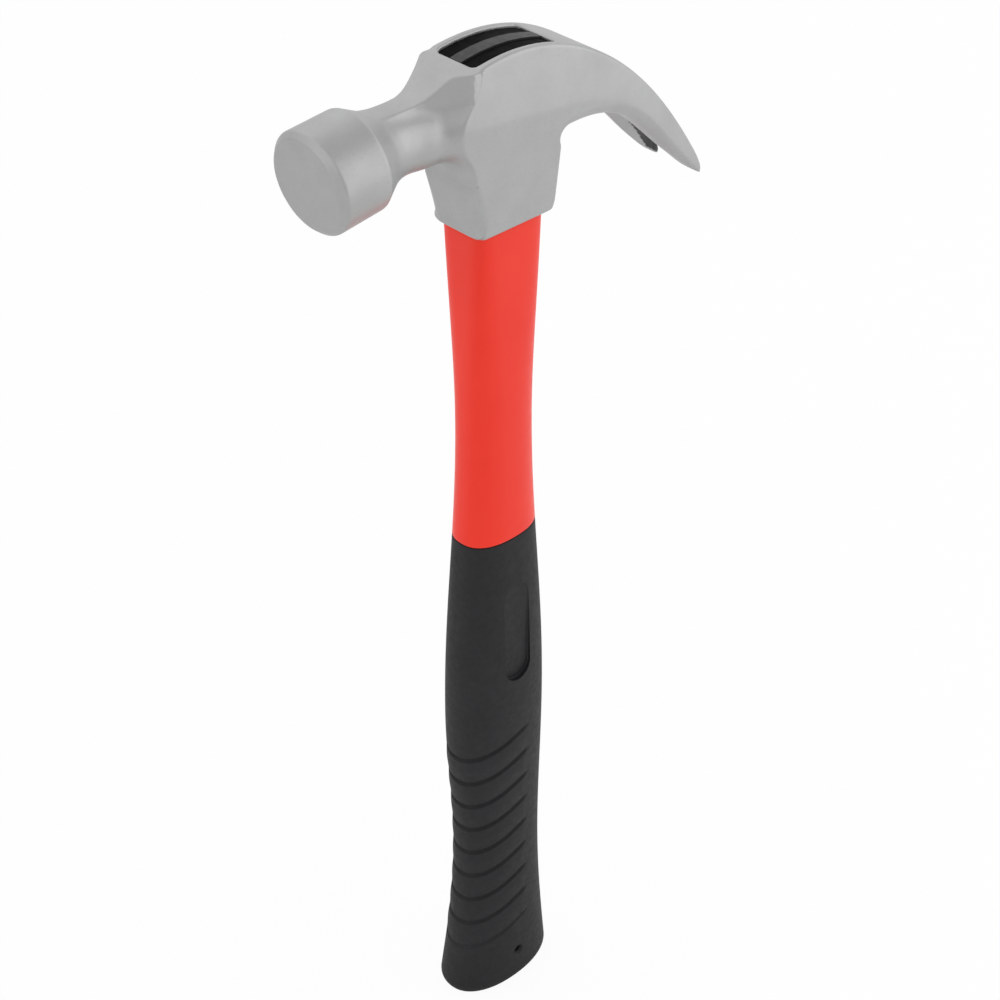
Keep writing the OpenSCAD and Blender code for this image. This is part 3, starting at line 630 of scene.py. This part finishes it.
def capsule(length, width, n=24):
    """Outline of a panel with round ends, lying in X and Z"""
    r, reach = width / 2, (length - width) / 2
    up = arc(0, reach, r, 0, 180, n)
    down = arc(0, -reach, r, 180, 360, n)
    return np.concatenate([up, down])


PANEL_Z, PANEL_L, PANEL_W, PANEL_DEPTH, PANEL_EDGE = 147, 35, 10, 1.1, 0.25


def upright_rings(outline_at, levels, side, z):
    """Rings of a cutter that runs along Y, from an outline in X and Z for each level"""
    rings = []
    for y, size in levels:
        outline = outline_at(size)
        rings.append(np.stack([outline[:, 0], np.full(len(outline), side * y), outline[:, 1] + z], 1))
    return rings if side < 0 else [ring[::-1] for ring in rings]


def grip_cutters():
    """Closed bodies that cut the side panels and the locating holes"""
    hole = mounts["pin_hole_right"]
    hole_z = hole["pos_m"][2] / MM
    circle = arc(0, 0, hole["dims"]["r_mm"], 0, 360, 49)[:-1]
    wall = float(half_width(hole_z))
    floor_y = half_width(PANEL_Z) - PANEL_DEPTH
    # each level is a distance from the middle with the panel's inset or the hole's scale there
    panel = [(floor_y, PANEL_EDGE), (floor_y + PANEL_EDGE, 0), (floor_y + 3, 0)]
    bore = [(wall - 5, 0.8), (wall - 4.8, 1), (wall - 0.9, 1), (wall - 0.5, 1.25), (wall + 1, 2.2)]
    cutters = []
    for side in (-1, 1):
        cutters.append(upright_rings(
            lambda inset: capsule(PANEL_L - 2 * inset, PANEL_W - 2 * inset), panel, side, PANEL_Z
        ))
        cutters.append(upright_rings(lambda scale: circle * scale, bore, side, hole_z))
    return cutters


def cut_away(obj, bodies):
    """Cuts closed bodies out of an object's mesh, leaving nothing of the cutter"""
    points, faces = [], []
    for body in bodies:
        p, f = loft(body)
        base = sum(len(q) for q in points)
        points.append(p)
        faces += [[base + i for i in face] for face in f]
    mesh = bpy.data.meshes.new("cutter")
    mesh.from_pydata((np.concatenate(points) * MM).tolist(), [], faces)
    cutter = bpy.data.objects.new("cutter", mesh)
    bpy.context.scene.collection.objects.link(cutter)
    modifier = obj.modifiers.new("recesses", "BOOLEAN")
    modifier.operation, modifier.solver, modifier.object = "DIFFERENCE", "EXACT", cutter
    bpy.context.view_layer.update()
    result = bpy.data.meshes.new_from_object(obj.evaluated_get(bpy.context.evaluated_depsgraph_get()))
    result.name = obj.name
    obj.modifiers.clear()
    obj.data = result
    bpy.data.objects.remove(cutter)


# ---- Materials ----

class Nodes:
    """A material's node tree, with short calls for adding and joining nodes"""

    def __init__(self, name):
        self.material = bpy.data.materials.new(name)
        self.material.use_nodes = True
        self.tree = self.material.node_tree
        self.shader = self.tree.nodes["Principled BSDF"]
        self.place = self.add("ShaderNodeTexCoord").outputs["Object"]

    def add(self, kind, **values):
        node = self.tree.nodes.new(kind)
        for key, value in values.items():
            setattr(node, key, value)
        return node

    def join(self, a, b):
        self.tree.links.new(a, b)

    def noise(self, scale, detail=4.0, roughness=0.55, stretch=(1, 1, 1), offset=(0, 0, 0)):
        mapping = self.add("ShaderNodeMapping")
        mapping.inputs["Scale"].default_value = stretch
        mapping.inputs["Location"].default_value = offset
        self.join(self.place, mapping.inputs["Vector"])
        node = self.add("ShaderNodeTexNoise")
        node.inputs["Scale"].default_value = scale
        node.inputs["Detail"].default_value = detail
        node.inputs["Roughness"].default_value = roughness
        self.join(mapping.outputs["Vector"], node.inputs["Vector"])
        return node.outputs["Fac"]

    def spread(self, value, low, high, start=0.3, end=0.7):
        node = self.add("ShaderNodeMapRange")
        node.inputs["From Min"].default_value = start
        node.inputs["From Max"].default_value = end
        node.inputs["To Min"].default_value = low
        node.inputs["To Max"].default_value = high
        self.join(value, node.inputs["Value"])
        return node.outputs["Result"]

    def blend(self, factor, a, b):
        node = self.add("ShaderNodeMix", data_type="RGBA")
        for socket, value in ((node.inputs[6], a), (node.inputs[7], b)):
            if isinstance(value, tuple):
                socket.default_value = (*value, 1)
            else:
                self.join(value, socket)
        self.join(factor, node.inputs[0])
        return node.outputs[2]

    def bump(self, height, distance, strength=1.0, after=None):
        node = self.add("ShaderNodeBump")
        node.inputs["Distance"].default_value = distance
        node.inputs["Strength"].default_value = strength
        self.join(height, node.inputs["Height"])
        if after is not None:
            self.join(after, node.inputs["Normal"])
        return node.outputs["Normal"]

    def finish(self, color, roughness, normal, **constants):
        self.join(color, self.shader.inputs["Base Color"])
        self.join(roughness, self.shader.inputs["Roughness"])
        self.join(normal, self.shader.inputs["Normal"])
        for key, value in constants.items():
            self.shader.inputs[key.replace("_", " ")].default_value = value
        return self.material


def steel_material():
    n = Nodes("blasted_steel")
    mottle = n.spread(n.noise(70, 5), 0, 1)
    color = n.blend(mottle, (0.425, 0.43, 0.425), (0.465, 0.47, 0.47))
    speck = n.spread(n.noise(1500, 3, 0.6), 0, 1, 0.55, 0.80)
    color = n.blend(speck, color, (0.40, 0.40, 0.395))
    wall = n.add("ShaderNodeAttribute", attribute_name="slot_wall_painted_shade").outputs["Fac"]
    # painted shade: the slot's walls are darkened near black as if in shadow
    color = n.blend(wall, color, (0.03, 0.03, 0.031))
    rough = n.spread(n.noise(160, 4, 0.6, offset=(3, 1, 2)), 0.40, 0.48)
    grain = n.bump(n.noise(2600, 3, 0.6), 0.00003, 0.5)
    dents = n.bump(n.noise(240, 2), 0.00005, 0.35, after=grain)
    return n.finish(color, rough, dents, Metallic=0.85, Specular_IOR_Level=0.3)


def jacket_material():
    n = Nodes("red_jacket")
    cloud = n.spread(n.noise(45, 3), 0, 1)
    color = n.blend(cloud, (0.91, 0.020, 0.003), (0.95, 0.028, 0.006))
    rough = n.spread(n.noise(420, 4, 0.6), 0.30, 0.40)
    flow = n.bump(n.noise(120, 2, stretch=(1, 1, 0.12)), 0.00006, 0.3)
    grain = n.bump(n.noise(3200, 2, 0.5), 0.000012, 0.4, after=flow)
    return n.finish(color, rough, grain, Specular_IOR_Level=0.4)


def rubber_material():
    n = Nodes("grip_rubber")
    cloud = n.spread(n.noise(60, 4), 0, 1)
    color = n.blend(cloud, (0.011, 0.011, 0.0125), (0.015, 0.015, 0.017))
    dust = n.spread(n.noise(900, 5, 0.7), 0, 1, 0.58, 0.75)
    color = n.blend(dust, color, (0.020, 0.020, 0.021))
    rough = n.spread(n.noise(500, 4, 0.6), 0.52, 0.66)
    grain = n.bump(n.noise(2400, 3, 0.65), 0.00005, 0.6)
    return n.finish(color, rough, grain, Specular_IOR_Level=0.3)


def resin_material():
    n = Nodes("cast_resin")
    cloud = n.spread(n.noise(180, 4), 0, 1)
    color = n.blend(cloud, (0.002, 0.002, 0.002), (0.005, 0.005, 0.005))
    rough = n.spread(n.noise(300, 3), 0.65, 0.80)
    wave = n.bump(n.noise(220, 3, stretch=(1, 1.6, 1)), 0.0004, 0.5)
    return n.finish(color, rough, wave, Specular_IOR_Level=0.06)


def wedge_material():
    n = Nodes("wedge_strip")
    cloud = n.spread(n.noise(300, 4, stretch=(0.4, 1.4, 1)), 0, 1)
    color = n.blend(cloud, (0.020, 0.020, 0.021), (0.032, 0.032, 0.033))
    rough = n.spread(n.noise(700, 4), 0.45, 0.6)
    grain = n.bump(n.noise(1200, 3, 0.6), 0.00005, 0.6)
    return n.finish(color, rough, grain)


def core_material():
    n = Nodes("glass_fibre")
    strand = n.spread(n.noise(2200, 4, 0.6, stretch=(1, 1, 0.02)), 0, 1)
    color = n.blend(strand, (0.60, 0.50, 0.22), (0.72, 0.64, 0.36))
    rough = n.spread(n.noise(600, 3, stretch=(1, 1, 0.05)), 0.28, 0.42)
    grain = n.bump(strand, 0.00002, 0.5)
    return n.finish(color, rough, grain)


# ---- Pieces ----

head = make_head(steel_material())
jacket = make_jacket(jacket_material())
grip = make_grip(rubber_material())
for piece, node, slot in (
    (head, "head", "forged_steel"),
    (jacket, "jacket", "jacket_plastic"),
    (grip, "grip", "grip_rubber"),
):
    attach(piece, "root")
    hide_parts(node)

for node, material in (
    ("eye_resin", resin_material()),
    ("wedge", wedge_material()),
    ("core", core_material()),
):
    mesh = frame["nodes"][node].data
    mesh.materials.clear()
    mesh.materials.append(material)


# ---- Stage ----

FLOOR_HALF = 6000
FLOOR_WHITE = 0.94  # share of plain white that the camera sees, so that the shadow still shows


def studio_floor():
    n = Nodes("studio_floor")
    n.tree.nodes.remove(n.shader)
    tone = n.blend(n.spread(n.noise(3, 3), 0, 1), (0.90, 0.90, 0.90), (0.93, 0.93, 0.93))
    diffuse = n.add("ShaderNodeBsdfDiffuse")
    n.join(tone, diffuse.inputs["Color"])
    glow = n.add("ShaderNodeEmission")
    path = n.add("ShaderNodeLightPath")
    either = n.add("ShaderNodeMath", operation="MAXIMUM")
    n.join(path.outputs["Is Camera Ray"], either.inputs[0])
    n.join(path.outputs["Is Transmission Ray"], either.inputs[1])
    share = n.add("ShaderNodeMath", operation="MULTIPLY")
    n.join(either.outputs[0], share.inputs[0])
    share.inputs[1].default_value = FLOOR_WHITE
    mix = n.add("ShaderNodeMixShader")
    n.join(share.outputs[0], mix.inputs[0])
    n.join(diffuse.outputs[0], mix.inputs[1])
    n.join(glow.outputs[0], mix.inputs[2])
    n.join(mix.outputs[0], n.tree.nodes["Material Output"].inputs["Surface"])
    return n.material


corners = [(a * FLOOR_HALF, b * FLOOR_HALF, 0) for a, b in ((-1, -1), (1, -1), (1, 1), (-1, 1))]
floor = add_mesh("floor", corners, [[0, 1, 2, 3]], studio_floor())


# broad soft glows round the object: direction (turn from +X, height in degrees) and strength
GLOWS = [
    (0, 15, 0.47), (45, 15, 0.28), (90, 15, 0.27), (180, 15, 0.60),
    (60, 50, 0.32), (120, 50, 0.45), (240, 50, 0.38),
]
GLOW_FOCUS = 6.0  # the higher, the narrower each glow
AMBIENT = 0.53


def studio_world():
    """Soft surroundings that light the object, while the camera sees plain white"""
    world = bpy.data.worlds.new("studio")
    bpy.context.scene.world = world
    world.use_nodes = True
    tree = world.node_tree

    def math_node(operation, a, b):
        node = tree.nodes.new("ShaderNodeMath")
        node.operation = operation
        for socket, value in zip(node.inputs, (a, b)):
            if isinstance(value, (int, float)):
                socket.default_value = value
            else:
                tree.links.new(value, socket)
        return node.outputs[0]

    background = tree.nodes["Background"]
    path = tree.nodes.new("ShaderNodeLightPath")
    place = tree.nodes.new("ShaderNodeTexCoord")
    level = AMBIENT
    for turn, height, strength in GLOWS:
        turn, height = math.radians(turn), math.radians(height)
        toward = tree.nodes.new("ShaderNodeVectorMath")
        toward.operation = "DOT_PRODUCT"
        toward.inputs[1].default_value = (
            math.cos(turn) * math.cos(height),
            math.sin(turn) * math.cos(height),
            math.sin(height),
        )
        tree.links.new(place.outputs["Generated"], toward.inputs[0])
        lobe = math_node("POWER", math_node("MAXIMUM", toward.outputs["Value"], 0.0), GLOW_FOCUS)
        level = math_node("ADD", math_node("MULTIPLY", lobe, strength), level)
    seen = math_node("MAXIMUM", path.outputs["Is Camera Ray"], path.outputs["Is Transmission Ray"])
    mix = tree.nodes.new("ShaderNodeMix")
    mix.data_type = "RGBA"
    mix.inputs[7].default_value = (1, 1, 1, 1)
    tree.links.new(seen, mix.inputs[0])
    tree.links.new(level, mix.inputs[6])
    tree.links.new(mix.outputs[2], background.inputs["Color"])
    background.inputs["Strength"].default_value = 1.0


LAMP_PLACE, LAMP_AIM, LAMP_SIZE, LAMP_POWER = (1.02, -1.02, 0.68), (0, 0, 0.3), 1.4, 5.2


def key_lamp():
    """One large square lamp on the claws' side of the near cheek, aimed at the head"""
    data = bpy.data.lights.new("key", "AREA")
    data.shape, data.size, data.size_y = "RECTANGLE", LAMP_SIZE, LAMP_SIZE
    data.energy, data.color = LAMP_POWER, (1, 1, 1)
    lamp = bpy.data.objects.new("key", data)
    lamp.location = LAMP_PLACE
    direction = Vector(LAMP_AIM) - Vector(LAMP_PLACE)
    lamp.rotation_euler = direction.to_track_quat("-Z", "Y").to_euler()
    bpy.context.scene.collection.objects.link(lamp)


studio_world()
key_lamp()


# ---- Camera ----

TURN, TILT = math.radians(43.8), math.radians(36.2)
CAMERA_PLACE = (-345.6, -361.1, 555.4)
LENS, SENSOR, SHIFT_X = 78.66, 36, 0.0046
right = np.array([math.cos(TURN), -math.sin(TURN), 0])
back = np.array([
    -math.sin(TURN) * math.cos(TILT),
    -math.cos(TURN) * math.cos(TILT),
    math.sin(TILT),
])
up = np.cross(back, right)
camera_data = bpy.data.cameras.new("camera")
camera_data.lens, camera_data.sensor_width = LENS, SENSOR
camera_data.shift_x = SHIFT_X
camera_data.clip_start, camera_data.clip_end = 0.01, 50
camera = bpy.data.objects.new("camera", camera_data)
matrix = np.eye(4)
matrix[:3, 0], matrix[:3, 1], matrix[:3, 2] = right, up, back
matrix[:3, 3] = np.array(CAMERA_PLACE) * MM
camera.matrix_world = Matrix(matrix.tolist())
bpy.context.scene.collection.objects.link(camera)
bpy.context.scene.camera = camera
bpy.context.scene.view_settings.view_transform = "Standard"
